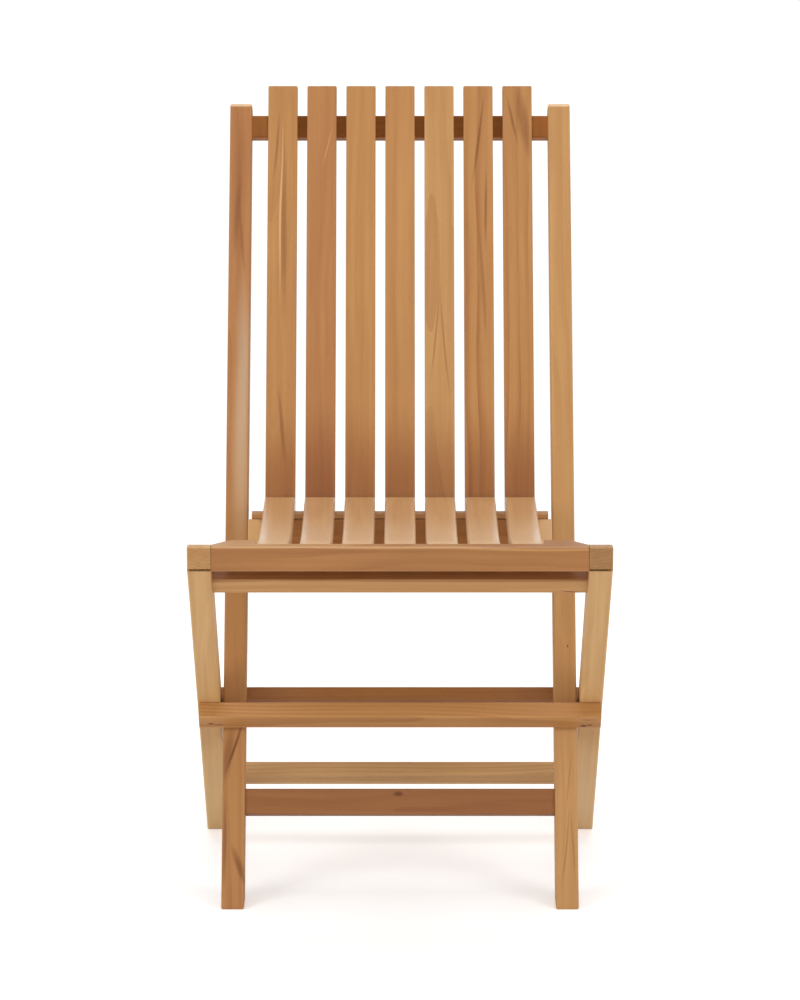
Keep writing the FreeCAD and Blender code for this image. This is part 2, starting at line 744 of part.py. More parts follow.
def crossing_bolt(name, half_turn):
    """A pivot bolt with a flat head and a hexagon socket, from the nut to its seat in the rear leg."""
    head_start = "overall_width / 2 - bolt_head_recess - bolt_head_thickness"
    shaft_start = "post_inner_width / 2 + bolt_end_recess"
    shaft = rod(f"{name}_shaft", shaft_start, f"{head_start} - ({shaft_start})", "bolt_radius")
    head = rod(f"{name}_head", head_start, "bolt_head_thickness", "bolt_head_radius")
    socket = doc.addObject("Part::Prism", f"{name}_socket")
    socket.Polygon = 6
    bind(socket, "Circumradius", "socket_radius")
    bind(socket, "Height", "socket_depth")
    place(socket, "overall_width / 2 - bolt_head_recess - socket_depth", "0", "0", "90", ALONG_Y)
    bolt = without(name, fused(f"{name}_blank", [shaft, head]), socket)
    place_at_crossing(bolt, "0", half_turn, ALONG_Z)
    return bolt


def ring(name, start, length, radius, half_turn):
    """A ring on the pivot bolt."""
    outside = rod(f"{name}_outside", start, length, radius)
    bore = rod(f"{name}_bore", start, length, "bolt_radius")
    whole = without(name, outside, bore)
    place_at_crossing(whole, "0", half_turn, ALONG_Z)
    return whole


fill_sheet()
SIDES = {"left": -1, "right": 1}
count = int(size("slat_count"))
nodes = {}

for word, side in SIDES.items():
    nodes[f"{word}_post"] = post(f"{word}_post", side)
    nodes[f"{word}_rear_leg"] = rear_leg(f"{word}_rear_leg", side)
    nodes[f"{word}_corner_block"] = corner_block(f"{word}_corner_block", side)
    nodes[f"{word}_hinge_lower_leaf"] = hinge_leaf(f"{word}_hinge_lower_leaf", side, False)
    nodes[f"{word}_hinge_upper_leaf"] = hinge_leaf(f"{word}_hinge_upper_leaf", side, True)
    nodes[f"{word}_hinge_pin"] = hinge_pin(f"{word}_hinge_pin", side)
    half_turn = "0" if side > 0 else "180"
    nodes[f"{word}_crossing_bolt"] = crossing_bolt(f"{word}_crossing_bolt", half_turn)
    nut_start = "post_inner_width / 2"
    nut = f"{word}_crossing_nut"
    nodes[nut] = ring(nut, nut_start, "nut_length", "nut_radius", half_turn)
    spacer_length = "side_gap - spacer_end_gap"
    nodes[f"{word}_crossing_spacer"] = ring(
        f"{word}_crossing_spacer", "post_frame_width / 2", spacer_length, "spacer_radius", half_turn
    )

for name, bar in {"back_lower_rail": LOWER_RAIL, "back_top_rail": TOP_RAIL}.items():
    nodes[name] = cross_bar(name, bar, "post_inner_width", True)
    place_in_back(nodes[name])

nodes["front_stretcher"] = cross_bar("front_stretcher", FRONT_STRETCHER, "post_inner_width", True)
place_at_crossing(nodes["front_stretcher"], "0", "-post_lean")

nodes["leg_top_rail"] = cross_bar("leg_top_rail", LEG_TOP_RAIL, "leg_inner_width", True)
front_bar_length = "overall_width - 2 * front_bar_end_inset"
nodes["middle_front_bar"] = cross_bar("middle_front_bar", MIDDLE_FRONT_BAR, front_bar_length, False)
nodes["middle_rear_bar"] = cross_bar("middle_rear_bar", MIDDLE_REAR_BAR, "overall_width", False)
nodes["rear_stretcher"] = cross_bar("rear_stretcher", REAR_STRETCHER, "overall_width", False)
for name in ("leg_top_rail", "middle_front_bar", "middle_rear_bar", "rear_stretcher"):
    place_at_crossing(nodes[name], "0", "leg_lean")

for number in range(1, count + 1):
    nodes[f"back_slat_{number}"] = back_slat(f"back_slat_{number}", number)
    nodes[f"seat_slat_{number}"] = seat_slat(f"seat_slat_{number}", number)

nodes["seat_front_board"] = seat_board("seat_front_board")
nodes["seat_rear_batten"] = seat_batten("seat_rear_batten")
doc.recompute()

for item in doc.Objects:
    if "Invalid" in item.State or "Error" in item.State:
        raise RuntimeError(f"{item.Name} did not compute: {item.State}")
for name, item in nodes.items():
    shape = item.Shape
    if shape.isNull() or not shape.isValid() or len(shape.Solids) != 1:
        raise RuntimeError(f"{name} is not one valid solid")

os.makedirs("parts", exist_ok=True)
for name, item in nodes.items():
    item.Label = name
    item.Shape.exportStep(f"parts/{name}.step")
box = Part.makeCompound([item.Shape for item in nodes.values()]).optimalBoundingBox(False)
print(f"{len(nodes)} pieces, {box.XLength:.1f} x {box.YLength:.1f} x {box.ZLength:.1f} mm")
print(f"middle {box.Center.x:.3f}, {box.Center.y:.3f}, foot {box.ZMin:.3f}")
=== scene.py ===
# %% [markdown]
# # A folding teak chair
#
# The chair is a set of square teak sticks. Two posts lean back and carry seven slats. Two rear legs
# cross them outside and turn on bolts, and the seat is hinged on the tops of those legs.
#
# The sticks and their hinges come ready made from the imported model, which is loaded as a fixed frame.
# What is left to do here is what the eye reads as wood: its tone, grain, rings and pores, its end grain
# and worn edges, which also carry a painted highlight, and some painted light and shade on single
# planks. The brass, the screws, the light and the camera come with it.

# %% Load the frame
import math
import random
from typing import NamedTuple

import bmesh
import bpy
from mathutils import Euler, Matrix, Vector


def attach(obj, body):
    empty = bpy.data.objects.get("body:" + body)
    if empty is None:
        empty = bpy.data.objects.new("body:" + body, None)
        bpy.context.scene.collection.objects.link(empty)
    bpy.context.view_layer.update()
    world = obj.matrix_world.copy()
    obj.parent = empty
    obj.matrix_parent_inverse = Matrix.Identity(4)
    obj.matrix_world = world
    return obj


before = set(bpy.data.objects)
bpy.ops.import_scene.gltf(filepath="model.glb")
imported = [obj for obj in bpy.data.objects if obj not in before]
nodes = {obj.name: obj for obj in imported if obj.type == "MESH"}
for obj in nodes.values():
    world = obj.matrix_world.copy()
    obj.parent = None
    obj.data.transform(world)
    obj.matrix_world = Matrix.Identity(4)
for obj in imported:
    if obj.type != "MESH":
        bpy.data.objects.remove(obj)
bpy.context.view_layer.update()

# %% Real sizes that the frame was built with
MM = 0.001
POST_LEAN = math.radians(27)
SLAT_LEAN = math.radians(25.3)
LEG_LEAN = math.radians(41)
SLAT_NUMBERS = range(1, 8)
print(f"{len(SLAT_NUMBERS)} slats in the back and as many in the seat")

# %% [markdown]
# ## Camera
#
# The photograph was taken from well away with a long lens, from above the chair and looking down on it.
# The lens axis meets the picture above its middle. That is a shift of the picture, and not more tilt:
# with more tilt, the upright posts would draw together downwards. The sizes below were found by fitting
# the chair's known square frame to the edges in the photograph.

# %% Place the camera
PICTURE_WIDTH = 800
SENSOR_WIDTH = 36
FOCAL_PIXELS = 3873
AXIS_PIXELS_ABOVE_MIDDLE = 110
CAMERA_PLACE = Vector((0, -4.2813, 1.513))
CAMERA_PITCH = math.radians(12.62)

camera = bpy.data.objects.new("camera", bpy.data.cameras.new("camera"))
camera.data.sensor_fit = "HORIZONTAL"
camera.data.sensor_width = SENSOR_WIDTH
camera.data.lens = FOCAL_PIXELS / PICTURE_WIDTH * SENSOR_WIDTH
camera.data.shift_y = -AXIS_PIXELS_ABOVE_MIDDLE / PICTURE_WIDTH
camera.location = CAMERA_PLACE
camera.rotation_euler = (math.radians(90) - CAMERA_PITCH, 0, 0)
bpy.context.collection.objects.link(camera)
bpy.context.scene.camera = camera
print(f"lens {camera.data.lens:.1f} mm, shift {camera.data.shift_y:.4f}")

# %% [markdown]
# ## Nodes and colours
#
# Every finish is a small tree of shader nodes. One function adds any node with its settings, its plain
# values and its links. A node's inputs are named, or else listed in the order in which the node shows
# them, which is shorter for sums and for mixing. One more function turns the sRGB colours that people
# write into the linear ones that a renderer adds up.

# %% Helpers for shader trees
def linear(hex_colour):
    """An sRGB colour such as B07A48 as linear RGBA."""
    channels = [int(hex_colour[place : place + 2], 16) / 255 for place in (0, 2, 4)]
    values = [c / 12.92 if c <= 0.04045 else ((c + 0.055) / 1.055) ** 2.4 for c in channels]
    return values + [1]


def shown(sockets):
    """The sockets that a node shows with its present settings."""
    return [socket for socket in sockets if socket.enabled]


def add_node(tree, kind, inputs=(), **settings):
    """Add one node. An input is a plain value, a link, or a node, which is linked by its first output."""
    node = tree.nodes.new(kind)
    for name, value in settings.items():
        setattr(node, name, value)
    if isinstance(inputs, dict):
        places, values = [node.inputs[name] for name in inputs], inputs.values()
    else:
        places, values = shown(node.inputs), inputs
    for socket, value in zip(places, values):
        if isinstance(value, bpy.types.Node):
            value = shown(value.outputs)[0]
        if isinstance(value, bpy.types.NodeSocket):
            tree.links.new(value, socket)
        else:
            socket.default_value = value
    return node


def new_material(name):
    """A material with an empty tree, ready for its nodes."""
    material = bpy.data.materials.new(name)
    material.use_nodes = True
    material.node_tree.nodes.clear()
    return material


# %% [markdown]
# ## Studio
#
# A cut-out product picture has a white ground and soft light from everywhere. Here a large lamp stands
# at each side in front of the chair, and one hangs above it, a little behind. The world is white for
# camera rays, which gives the picture its white ground, and for glossy and transmitted rays, so that
# metal shows that ground too. For the rays that light the wood it is half as strong, so that a colour
# renders about as it is written.

# %% World
WORLD_LIGHT = 0.5
WHITE = (1, 1, 1, 1)

world = bpy.data.worlds.new("studio")
world.use_nodes = True
sky = world.node_tree
sky.nodes.clear()
rays = add_node(sky, "ShaderNodeLightPath").outputs
direct = [rays["Is Camera Ray"], rays["Is Glossy Ray"]]
seen = add_node(sky, "ShaderNodeMath", direct, operation="MAXIMUM")
seen_at_all = add_node(sky, "ShaderNodeMath", [seen, rays["Is Transmission Ray"]], operation="MAXIMUM")
strength = add_node(
    sky,
    "ShaderNodeMapRange",
    {"Value": seen_at_all, "To Min": WORLD_LIGHT, "To Max": 1.0},
)
glow = add_node(sky, "ShaderNodeBackground", {"Color": WHITE, "Strength": strength})
add_node(sky, "ShaderNodeOutputWorld", {"Surface": glow})
bpy.context.scene.world = world
bpy.context.scene.view_settings.view_transform = "Standard"
print(f"a white world, which lights the wood with a strength of {WORLD_LIGHT}")

# %% Soft lamps
def soft_lamp(name, place, target, width, height, power):
    """A rectangular lamp that faces a target."""
    lamp = bpy.data.lights.new(name, "AREA")
    lamp.shape = "RECTANGLE"
    lamp.size = width
    lamp.size_y = height
    lamp.energy = power
    holder = bpy.data.objects.new(name, lamp)
    holder.location = place
    holder.rotation_euler = (Vector(target) - Vector(place)).to_track_quat("-Z", "Y").to_euler()
    bpy.context.collection.objects.link(holder)
    print(f"{name}: {width} x {height} m, {power} W")


CHAIR_MIDDLE = (0, 0, 0.45)
soft_lamp("left_lamp", (-2.7, -2.2, 1.2), CHAIR_MIDDLE, width=1.4, height=2.3, power=44)
soft_lamp("right_lamp", (2.7, -2.2, 1.2), CHAIR_MIDDLE, width=1.4, height=2.3, power=40)
soft_lamp("top_lamp", (0.0, 0.6, 3.0), CHAIR_MIDDLE, width=2.6, height=1.6, power=34)

# %% [markdown]
# ### Floor
#
# The floor is one large matt face. Lit as plainly as this it would render light grey, so for camera
# rays alone it also gives off some white of its own, which grows with the distance until it meets the
# white of the world. The chair's shadow stays, fainter, because that white is added to it.

# %% Lay the floor
FLOOR_SIZE = 30

floor_mesh = bpy.data.meshes.new("floor")
floor_form = bmesh.new()
bmesh.ops.create_grid(floor_form, x_segments=1, y_segments=1, size=FLOOR_SIZE / 2)
floor_form.to_mesh(floor_mesh)
floor_form.free()
floor = bpy.data.objects.new("floor", floor_mesh)
bpy.context.collection.objects.link(floor)
print(f"a floor {FLOOR_SIZE} m wide")

# %% Paint the floor
FLOOR_WHITE = 0.93
WHITE_ADDED_NEAR = 0.36
WHITE_ADDED_FAR = 0.62
NEAR = 1.2
FAR = 6.0

paint = new_material("pale_floor_paint")
ground = paint.node_tree
floor_colour = (FLOOR_WHITE, FLOOR_WHITE, FLOOR_WHITE, 1)
matt = add_node(ground, "ShaderNodeBsdfDiffuse", {"Color": floor_colour, "Roughness": 0.0})
on_floor = add_node(ground, "ShaderNodeTexCoord").outputs["Object"]
away = add_node(ground, "ShaderNodeVectorMath", [on_floor], operation="LENGTH")
added = add_node(
    ground,
    "ShaderNodeMapRange",
    [away, NEAR, FAR, WHITE_ADDED_NEAR, WHITE_ADDED_FAR],
    interpolation_type="SMOOTHSTEP",
)
lift = add_node(ground, "ShaderNodeEmission", {"Color": WHITE, "Strength": added})
lifted = add_node(ground, "ShaderNodeAddShader", [matt, lift])
to_camera = add_node(ground, "ShaderNodeLightPath").outputs["Is Camera Ray"]
seen_floor = add_node(ground, "ShaderNodeMixShader", [to_camera, matt, lifted])
add_node(ground, "ShaderNodeOutputMaterial", {"Surface": seen_floor})
floor_mesh.materials.append(paint)
print(f"white added to it: {WHITE_ADDED_NEAR} near the chair and {WHITE_ADDED_FAR} far off")

# %% [markdown]
# ## Teak
#
# Teak is an oily golden-brown hardwood. These sticks are sawn, planed and sanded, and left with a thin
# coat of oil, so the surface is smooth and only a little glossy. The eye reads five things in it: the
# tone of each plank, since no two come from the same part of a log; growth rings, which run straight
# along a stick and arch where the saw passed near the heart; fine fibre streaks; short dark pores; and
# darker end grain.
#
# A photograph of wood could be laid on each face, but it would stop at every edge. A solid pattern in
# the piece's own coordinates is better: it runs through the stick as real grain does, and comes out on
# the end as rings without being asked to.

# %% How each stick lies along its grain
def leaning(lean, turn=(0, 0, 0)):
    """The turn of a stick that is built upright or level and then leans."""
    return (Euler((lean, 0, 0)).to_matrix() @ Euler(turn).to_matrix()).to_euler()


LEVEL = (0, math.radians(90), 0)
GRAIN_TURNS = {
    "post": leaning(-POST_LEAN),
    "slat": leaning(-SLAT_LEAN),
    "leg": leaning(LEG_LEAN),
    "across": leaning(0, LEVEL),
    "across_back": leaning(-SLAT_LEAN, LEVEL),
    "across_posts": leaning(-POST_LEAN, LEVEL),
    "across_legs": leaning(LEG_LEAN, LEVEL),
    "front_to_back": leaning(math.radians(-90)),
}


def stick_size(piece, turn):
    """The middle and the half sizes of a piece, measured in a frame whose Z axis is its grain."""
    to_stick = turn.to_matrix().inverted()
    points = [to_stick @ vertex.co for vertex in piece.data.vertices]
    low = Vector([min(point[axis] for point in points) for axis in range(3)])
    high = Vector([max(point[axis] for point in points) for axis in range(3)])
    return turn.to_matrix() @ ((low + high) / 2), (high - low) / 2


# %% [markdown]
# ### The patterns and their real sizes
#
# Growth rings in plantation teak are 3 to 9 mm apart, a fibre streak is about 1 mm wide and a hand
# long, and a pore is a scratch 0.3 mm wide and a few millimetres long. A picture point is about 1.1 mm
# here, so pores are drawn 0.7 mm wide and faint, or they would vanish.
#
# A noise texture makes spots about one unit wide, so a Mapping node scales the place by one over the
# width and the length that the spots should have. Each kind of noise takes its own multiple of the
# plank's shift, because with the same one their spots could lie on each other.

# %% Noises that are drawn out along the grain, in millimetres
NOISES = {
    "wander": {"width": 55, "length": 240, "detail": 1.0, "shifts": 1},
    "fibre": {"width": 1.2, "length": 110, "detail": 2.0, "shifts": 3},
    "streak": {"width": 7.5, "length": 420, "detail": 2.0, "shifts": 5},
    "patch": {"width": 30, "length": 170, "detail": 2.0, "shifts": 7},
    "pore": {"width": 0.7, "length": 6, "detail": 0.0, "shifts": 9},
}
NOISE_ROUGHNESS = 0.55


def long_noise(tree, kind, stick, shift):
    """A noise of one kind: spots of a real width and length, moved by the plank's own shift."""
    spots = NOISES[kind]
    across = 1 / (spots["width"] * MM)
    scale = (across, across, 1 / (spots["length"] * MM))
    place = {"Vector": stick, "Location": shift * spots["shifts"], "Scale": scale}
    drawn_out = add_node(tree, "ShaderNodeMapping", place)
    settings = {"Scale": 1.0, "Detail": spots["detail"], "Roughness": NOISE_ROUGHNESS}
    return add_node(tree, "ShaderNodeTexNoise", {"Vector": drawn_out, **settings})


# %% [markdown]
# ### How colours and steps are laid on
#
# A Mix node lays a colour on the wood in one of two ways: MULTIPLY darkens it, as a dark vein does and
# as painted shade does, and MIX covers it. A Map Range node picks a stretch out of a noise with soft
# ends. These settings serve all of them.

# %% Settings that the finishes share
DARKEN = {"data_type": "RGBA", "blend_type": "MULTIPLY"}
COVER = {"data_type": "RGBA", "blend_type": "MIX"}
SOFT_STEP = {"interpolation_type": "SMOOTHSTEP"}


def tinted(hex_colour, strengths):
    """A colour with each linear channel made stronger or weaker, for a redder or a paler streak."""
    return [channel * strength for channel, strength in zip(linear(hex_colour), strengths)] + [1]


# %% [markdown]
# ### Bent grain and growth rings
#
# Trees aren't straight, so a slow noise moves each place in the stick sideways by up to 13 mm, and all
# that follows is drawn in the bent grain.
#
# The growth rings are a Wave texture of rings round a line, which stands for the heart of the tree. The
# line lies a few centimetres off the plank and leans a little against it: the further it leans, the
# more arches the saw cut shows. The wave is a saw tooth, because a ring darkens slowly and ends at
# once. A Wave texture of scale 1 has its rings pi / 10 apart, and from that comes the scale for rings
# of a real width.

# %% Bend the grain and draw the rings
WANDER = 13 * MM
RINGS_APART_AT_SCALE_1 = math.pi / 10
RING_WAVER = {"Distortion": 1.2, "Detail": 2.0, "Detail Scale": 0.25}
DARK_OF_THE_RING = (0.35, 0.98)
FIGURED_PATCH = (0.35, 0.65)
FIGURE_LEFT = 0.35
RING_STAIN = linear("B9865A")


def bend(tree, stick, shift):
    """The places in a stick, moved sideways by a slow noise."""
    slow = long_noise(tree, "wander", stick, shift).outputs["Color"]
    sideways = (WANDER, WANDER, 0)
    return add_node(tree, "ShaderNodeVectorMath", [slow, sideways, stick], operation="MULTIPLY_ADD")


def add_rings(tree, wood, bent, patch, plank):
    """Stain the wood with growth rings, which are weaker outside the figured patches."""
    heart = add_node(
        tree,
        "ShaderNodeMapping",
        {"Vector": bent, "Location": Vector(plank["heart"]) * MM, "Rotation": plank["lean"]},
    )
    scale = RINGS_APART_AT_SCALE_1 / (plank["rings"] * MM)
    rings = add_node(
        tree,
        "ShaderNodeTexWave",
        {"Vector": heart, "Scale": scale, **RING_WAVER},
        wave_type="RINGS",
        rings_direction="Z",
        wave_profile="SAW",
    ).outputs["Fac"]
    figure = plank["figure"]
    dark = add_node(tree, "ShaderNodeMapRange", [rings, *DARK_OF_THE_RING], **SOFT_STEP)
    depth = add_node(
        tree,
        "ShaderNodeMapRange",
        [patch, *FIGURED_PATCH, FIGURE_LEFT * figure, figure],
        **SOFT_STEP,
    )
    amount = add_node(tree, "ShaderNodeMath", [dark, depth], operation="MULTIPLY")
    return add_node(tree, "ShaderNodeMix", [amount, wood, RING_STAIN], **DARKEN)


# %% [markdown]
# ### Tone and pores
#
# Streaks in teak change hue as well as depth. Where the wood is dark it is also redder, and where it is
# pale it is greyer, so the two ends of the tone scale are tinted apart and not just made darker and
# lighter. Three noises move the tone between them. Each has a mean of a half, so a half of their
# weights is taken off, and the plank keeps its own tone on the whole.
#
# Pores are the peaks of the finest noise.

# %% Spread the tone and prick the pores
TONE_WEIGHTS = (1.5, 0.4, 1.1)
MEAN = 0.5
DARK_END = (0.80, 0.72, 0.64)
LIGHT_END = (1.17, 1.25, 1.34)
PORE_PEAKS = (0.64, 0.80)
PORE_STAIN = linear("96704E")


def lay_tone(tree, noises, plank):
    """The plank's tone, moved towards its dark or its light end by streaks, fibre and patches."""
    tone = MEAN - MEAN * sum(TONE_WEIGHTS) * plank["contrast"]
    for noise, weight in zip(noises, TONE_WEIGHTS):
        share = weight * plank["contrast"]
        tone = add_node(tree, "ShaderNodeMath", [noise, share, tone], operation="MULTIPLY_ADD")
    ends = [tinted(plank["tone"], end) for end in (DARK_END, LIGHT_END)]
    return add_node(tree, "ShaderNodeMix", [tone, *ends], **COVER)


def add_pores(tree, wood, pores, plank):
    """Stain the wood where it has pores."""
    amount = add_node(tree, "ShaderNodeMath", [pores, plank["pores"]], operation="MULTIPLY")
    return add_node(tree, "ShaderNodeMix", [amount, wood, PORE_STAIN], **DARKEN)


# %% [markdown]
# ### Marks
#
# No noise puts a knot or a flame where the real plank has it. Such a mark is a soft long spot: a
# Mapping node of the TEXTURE type places a ball, stretches it across and along the grain and turns it a
# little off it, and a spherical gradient fills it from 0 at its rim to 1 in its middle. A dark mark
# darkens the wood and a pale one covers it. Some marks are in the wood, and some are painted light and
# shade. A spot wider than the stick shades a whole end.
#
# The mark is drawn in the bent grain, which lies half the wander to one side on average. The mark moves
# with it, so that it comes out where its numbers say.

# %% One mark of a plank
HEART_STAIN = "9A6A44"
RIGHT_THROUGH = 90
HALF_THE_WANDER = Vector((WANDER / 2, WANDER / 2, 0))


class Mark(NamedTuple):
    """A soft spot in a stick, with its place and size in millimetres and its slant in degrees.

    It lies across and along from the stick's middle, or along from its end where from_end is 1 or -1.
    Its width and length reach from its own middle to its rim. It fades over the soft share of them.
    """

    across: float
    along: float
    width: float
    length: float
    strength: float
    from_end: int = 0
    slant: float = 0
    soft: float = 0.8
    dark_tint: str = HEART_STAIN
    pale: str = ""


def add_mark(tree, wood, bent, half, mark):
    """Lay one mark on the wood."""
    along = mark.along * MM + mark.from_end * half.z
    ball = add_node(
        tree,
        "ShaderNodeMapping",
        {
            "Vector": bent,
            "Location": Vector((mark.across * MM, 0, along)) + HALF_THE_WANDER,
            "Rotation": (0, math.radians(mark.slant), 0),
            "Scale": Vector((mark.width, RIGHT_THROUGH, mark.length)) * MM,
        },
        vector_type="TEXTURE",
    )
    inside = add_node(tree, "ShaderNodeTexGradient", [ball], gradient_type="SPHERICAL").outputs["Fac"]
    amount = add_node(tree, "ShaderNodeMapRange", [inside, 0, mark.soft, 0, mark.strength], **SOFT_STEP)
    colour = linear(mark.pale or mark.dark_tint)
    return add_node(tree, "ShaderNodeMix", [amount, wood, colour], **(COVER if mark.pale else DARKEN))


# %% [markdown]
# ### Worn edges with a painted highlight, and end grain
#
# The long edges of a stick are painted paler. That is partly wear, as hands and weather wear them pale
# first, and partly a painted highlight, as a rounded edge catches the light. A place near an edge is near
# two side faces at once, so its distances to both are added up. Where the sum is under 3 mm the wood is
# paler, more in some patches than in others.
#
# End grain drinks more oil, so faces that look along the grain are a little darker. They are the ones
# whose normal has a cosine near 1 with the grain.

# %% Pale the edges, worn and with a painted highlight, and darken the ends
PALE_EDGE_BAND = 3 * MM
WORN_AND_LIT_EDGE = (1.3, 1.42, 1.6)
PALE_EDGE_PATCH = (0.35, 0.7)
PALE_EDGE_LEFT = 0.3
END_COSINES = (0.95, 0.995)
END_STAIN = linear("E4DACE")


def pale_worn_and_lit_edges(tree, wood, stick, half, patch, plank):
    """Make the long edges of a stick paler, partly as wear and partly as a painted highlight."""
    place = add_node(tree, "ShaderNodeSeparateXYZ", [stick]).outputs
    rooms = []
    for letter, size in zip("XY", half):
        reach = add_node(tree, "ShaderNodeMath", [place[letter]], operation="ABSOLUTE")
        rooms.append(add_node(tree, "ShaderNodeMath", [size, reach], operation="SUBTRACT"))
    both = add_node(tree, "ShaderNodeMath", rooms, operation="ADD")
    # The pale band along each long edge: partly wear, partly painted highlight.
    worn_and_lit = add_node(tree, "ShaderNodeMapRange", [both, 0, PALE_EDGE_BAND, plank["worn_and_lit"], 0], **SOFT_STEP)
    spread = add_node(tree, "ShaderNodeMapRange", [patch, *PALE_EDGE_PATCH, PALE_EDGE_LEFT, 1], **SOFT_STEP)
    amount = add_node(tree, "ShaderNodeMath", [worn_and_lit, spread], operation="MULTIPLY")
    return add_node(tree, "ShaderNodeMix", [amount, wood, tinted(plank["tone"], WORN_AND_LIT_EDGE)], **COVER)


def darken_ends(tree, wood, normal, turn):
    """Stain the faces that look along the grain."""
    grain = turn.to_matrix() @ Vector((0, 0, 1))
    facing = add_node(tree, "ShaderNodeVectorMath", [normal, grain], operation="DOT_PRODUCT")
    either_way = add_node(tree, "ShaderNodeMath", [facing], operation="ABSOLUTE")
    end = add_node(tree, "ShaderNodeMapRange", [either_way, *END_COSINES], **SOFT_STEP)
    return add_node(tree, "ShaderNodeMix", [end, wood, END_STAIN], **DARKEN)


# %% [markdown]
# ### One plank's finish
#
# The layers go on in order: tone, rings, pores, the plank's own marks, worn edges with a painted
# highlight, and end grain. The surface follows the same fibre and pores. Fibre makes it a little uneven
# and pores are shallow scratches, and a Bump node is enough for both, because they are far too fine for
# geometry. Oiled wood reflects as oil does, with an IOR of 1.5. The coat and the sheen are for the seat
# slats, which use has rubbed smooth: seen at a glancing angle, as in the photograph, they look paler.

# %% Put one plank together
UNEVEN_FIBRE = (0.3, 0.7)
SMOOTHER = 0.06
ROUGHER = 0.08
PORE_DEPTH = 0.8
RELIEF_HEIGHT = 0.3 * MM
SHEEN_TINT = linear("FFDDB4")


def teak(name, turn, middle, half, plank):
    """Oiled teak cut as a plank says: its tone, its figure, its heart's place and lean, and its marks."""
    material = new_material(name)
    tree = material.node_tree
    shift = Vector(plank["shift"])
    own = add_node(tree, "ShaderNodeTexCoord").outputs
    frame_of_stick = {"Vector": own["Object"], "Location": middle, "Rotation": turn}
    stick = add_node(tree, "ShaderNodeMapping", frame_of_stick, vector_type="TEXTURE")
    bent = bend(tree, stick, shift)
    fibre, streak, patch, pore = [
        long_noise(tree, kind, bent, shift).outputs["Fac"] for kind in ("fibre", "streak", "patch", "pore")
    ]
    pores = add_node(tree, "ShaderNodeMapRange", [pore, *PORE_PEAKS], **SOFT_STEP)

    wood = lay_tone(tree, (streak, fibre, patch), plank)
    wood = add_rings(tree, wood, bent, patch, plank)
    wood = add_pores(tree, wood, pores, plank)
    for mark in plank["marks"]:
        wood = add_mark(tree, wood, bent, half, mark)
    wood = pale_worn_and_lit_edges(tree, wood, stick, half, patch, plank)
    wood = darken_ends(tree, wood, own["Normal"], turn)

    rough = (plank["rough"] - SMOOTHER, plank["rough"] + ROUGHER)
    roughness = add_node(
        tree,
        "ShaderNodeMapRange",
        [fibre, *UNEVEN_FIBRE, *rough],
        **SOFT_STEP,
    )
    height = add_node(tree, "ShaderNodeMath", [pores, -PORE_DEPTH, fibre], operation="MULTIPLY_ADD")
    relief = {"Height": height, "Strength": plank["relief"], "Distance": RELIEF_HEIGHT}
    surface = add_node(
        tree,
        "ShaderNodeBsdfPrincipled",
        {
            "Base Color": wood,
            "Roughness": roughness,
            "IOR": 1.5,
            "Specular IOR Level": plank["shine"],
            "Coat Weight": plank["coat"],
            "Coat Roughness": 0.2,
            "Sheen Weight": plank["sheen"],
            "Sheen Roughness": 0.35,
            "Sheen Tint": SHEEN_TINT,
            "Normal": add_node(tree, "ShaderNodeBump", relief),
        },
    )
    add_node(tree, "ShaderNodeOutputMaterial", {"Surface": surface})
    return material


# %% [markdown]
# ### Choosing the planks
#
# The maker picks sticks from a pile. A short list of tones covers what the pile holds, from straw to
# chestnut, and each piece says its tone, how strong its figure is, how many millimetres apart its rings
# are and any mark of its own.
#
# The marks are the ones that the photograph shows. In the wood there are dark heart veins, flames, pale
# strips of sapwood and small knots. The rest is painted light and shade: painted highlights on the post
# tops, along the top of the seat board and on the rear ends of the seat slats, a painted sheen on the
# front of the seat slats, painted light on the foot of each rear leg and on the lower face of the rear
# stretcher, darker tones with paler painted ends on the two back rails for the shade behind the slats,
# painted shade on the feet of the back slats and on the top of the leg top rail, and a painted shadow
# line where batten and lower rail meet. What a piece doesn't say is as in the common plank.

# %% Tones in the pile
HONEY = "B7824B"
STRAW = "BE8D56"
PALE = "CB9F69"
RUSSET = "AF7745"
UMBER = "A0652B"
BROWN = "A46D39"
CHESTNUT = "935E33"
GREYED = "B48A5C"

COMMON_PLANK = {
    "tone": HONEY,
    "figure": 0.2,
    "rings": 5,
    "contrast": 0.55,
    "pores": 0.10,
    "marks": [],
    "worn_and_lit": 0.4,
    "rough": 0.46,
    "shine": 0.36,
    "coat": 0.0,
    "sheen": 0.0,
    "relief": 0.06,
}

